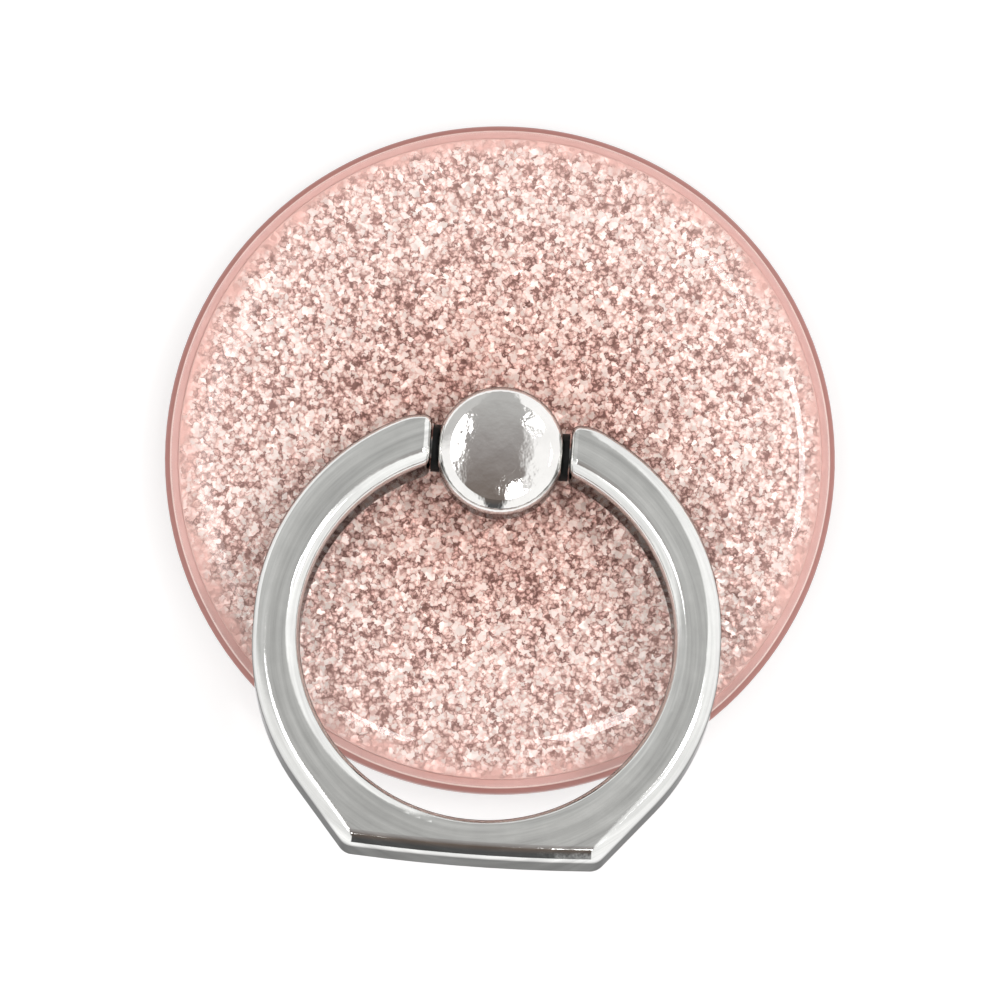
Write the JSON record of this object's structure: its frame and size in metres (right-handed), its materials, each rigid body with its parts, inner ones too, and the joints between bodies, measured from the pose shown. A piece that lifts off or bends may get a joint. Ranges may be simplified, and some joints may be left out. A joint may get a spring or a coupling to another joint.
{
  "type": "phone ring holder",
  "caption": "Glitter disc that sticks to the back of a phone, with a finger ring that turns on a swivel post and flips up and over as a grip or stand.",
  "frame": {"origin": "on the swivel axis, in the adhesive face that sticks to the phone", "axes": "+Z along the swivel axis, away from the phone; X along the hinge pin; the ring's foot points to -Y at rest"},
  "size_m": [0.04, 0.0445, 0.0129],
  "materials": {
    "adhesive_foam": "matte",
    "pink_plastic": "gloss",
    "glitter": "gloss",
    "clear_plastic": "polished",
    "nylon": "satin",
    "polished_metal": "polished",
    "steel": "satin",
    "black_plastic": "satin",
    "plated_metal": "polished"
  },
  "bodies": {
    "base": {"adhesive_pad": "adhesive_foam", "base_plate": "pink_plastic", "glitter_film": "glitter", "clear_cover": "clear_plastic", "slip_washer": "nylon"},
    "post": {"swivel_post": "polished_metal", "spring_washer": "steel", "retaining_washer": "steel", "left_friction_washer": "black_plastic", "right_friction_washer": "black_plastic"},
    "ring": {"finger_ring": "plated_metal", "hinge_pin": "steel"}
  },
  "joints": [
    {"name": "swivel", "type": "hinge", "parent": "base", "child": "post", "pos_m": [0, 0, 0.00679], "axis": [0, 0, 1], "continuous": true},
    {"name": "ring_flip", "type": "hinge", "parent": "post", "child": "ring", "pos_m": [0, 0, 0.00679], "axis": [-1, 0, 0], "range_deg": [-10, 170]}
  ]
}
